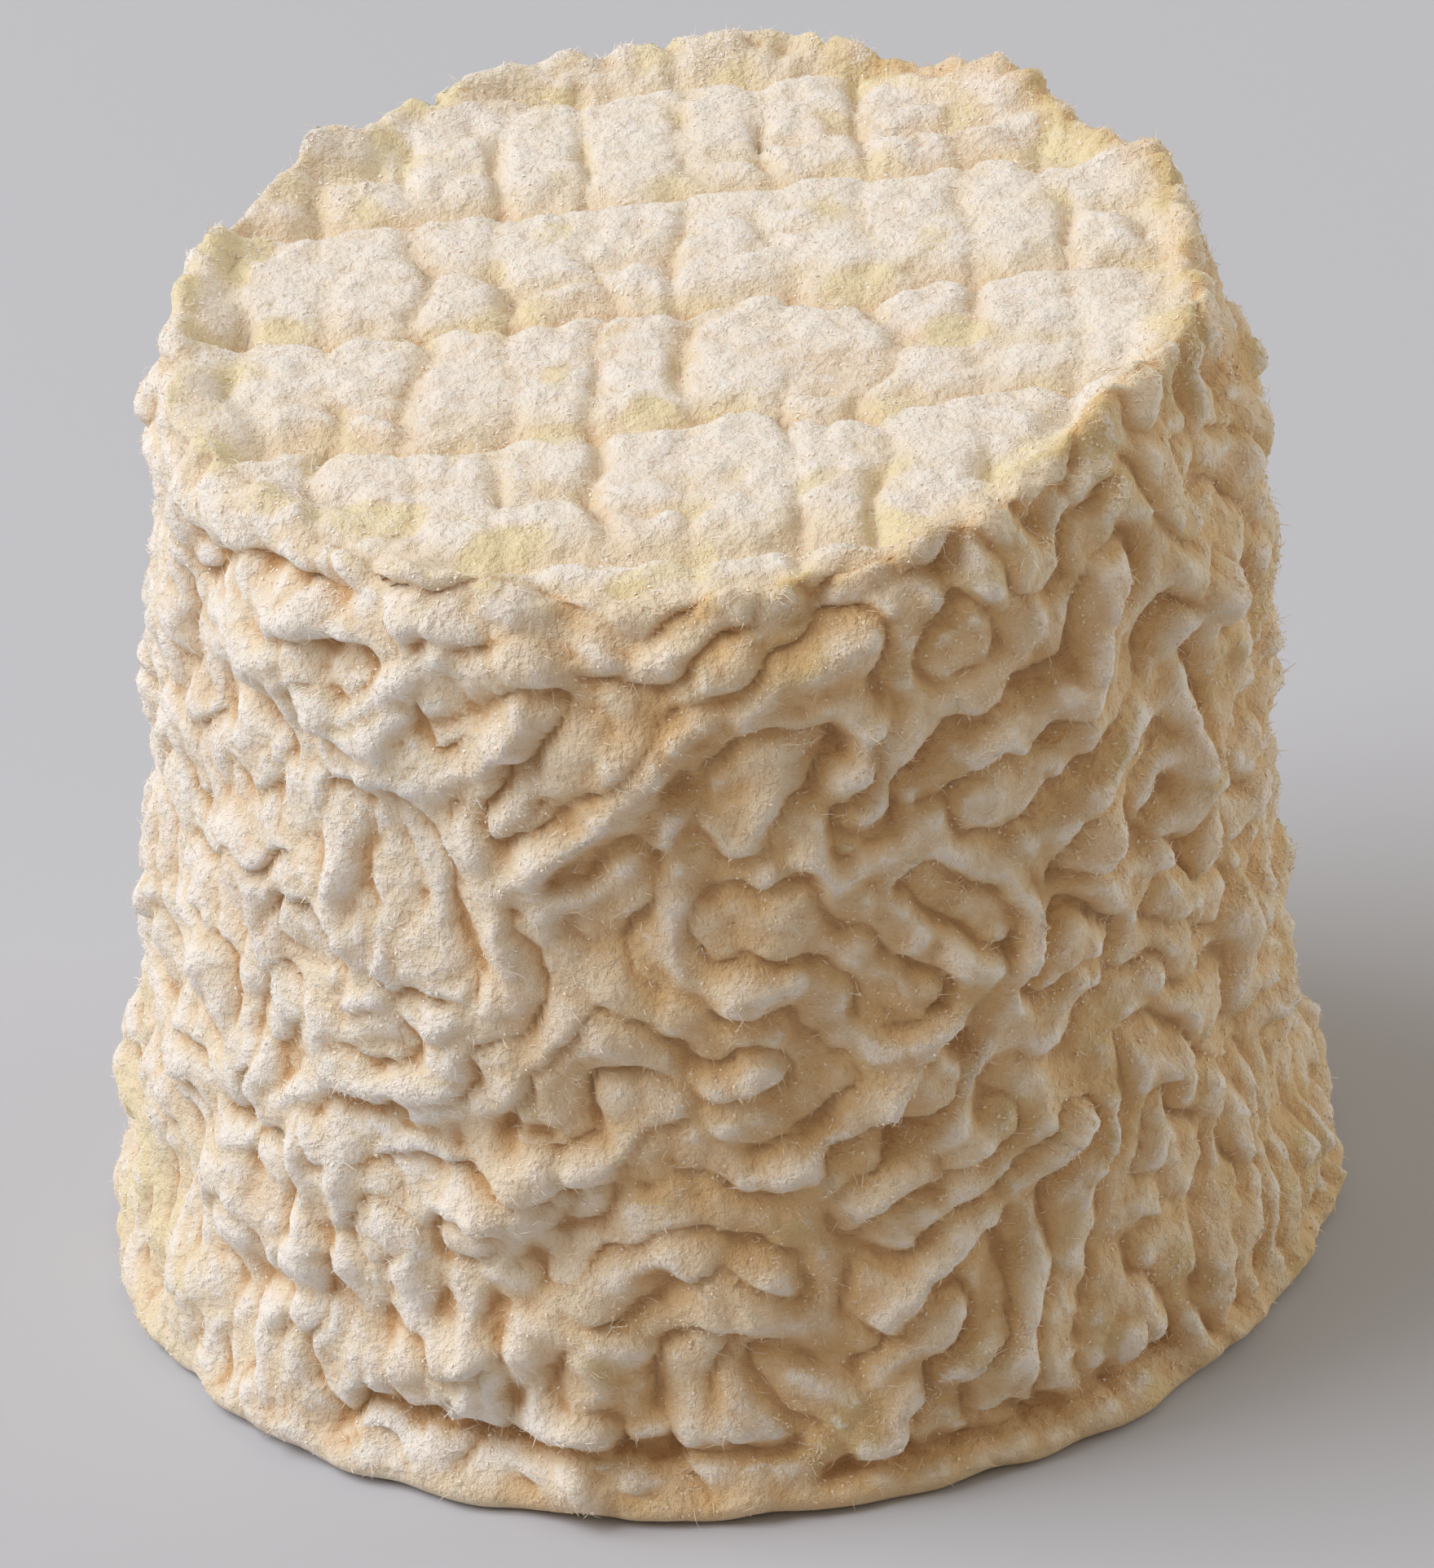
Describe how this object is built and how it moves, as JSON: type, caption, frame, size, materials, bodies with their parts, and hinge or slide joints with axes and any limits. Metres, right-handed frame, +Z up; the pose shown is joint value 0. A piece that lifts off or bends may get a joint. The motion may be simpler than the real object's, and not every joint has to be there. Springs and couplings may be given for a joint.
{
  "type": "sheep cheese",
  "caption": "Small tall round of soft sheep's milk cheese with a deeply wrinkled, pale grown rind and a gridded, slightly tilted top.",
  "frame": {"origin": "middle of the flat base that the cheese rests on", "axes": "+Z up; -Y towards the pictured front, whose rim is lowest; +X to the right of that front"},
  "size_m": [0.067, 0.0659, 0.0581],
  "materials": {
    "rind": "matt, soft and powdery: cream-white grown rind with warm peach creases, pale yellow patches and fine white fuzz"
  },
  "bodies": {
    "root": {"cheese": "rind"}
  },
  "joints": []
}
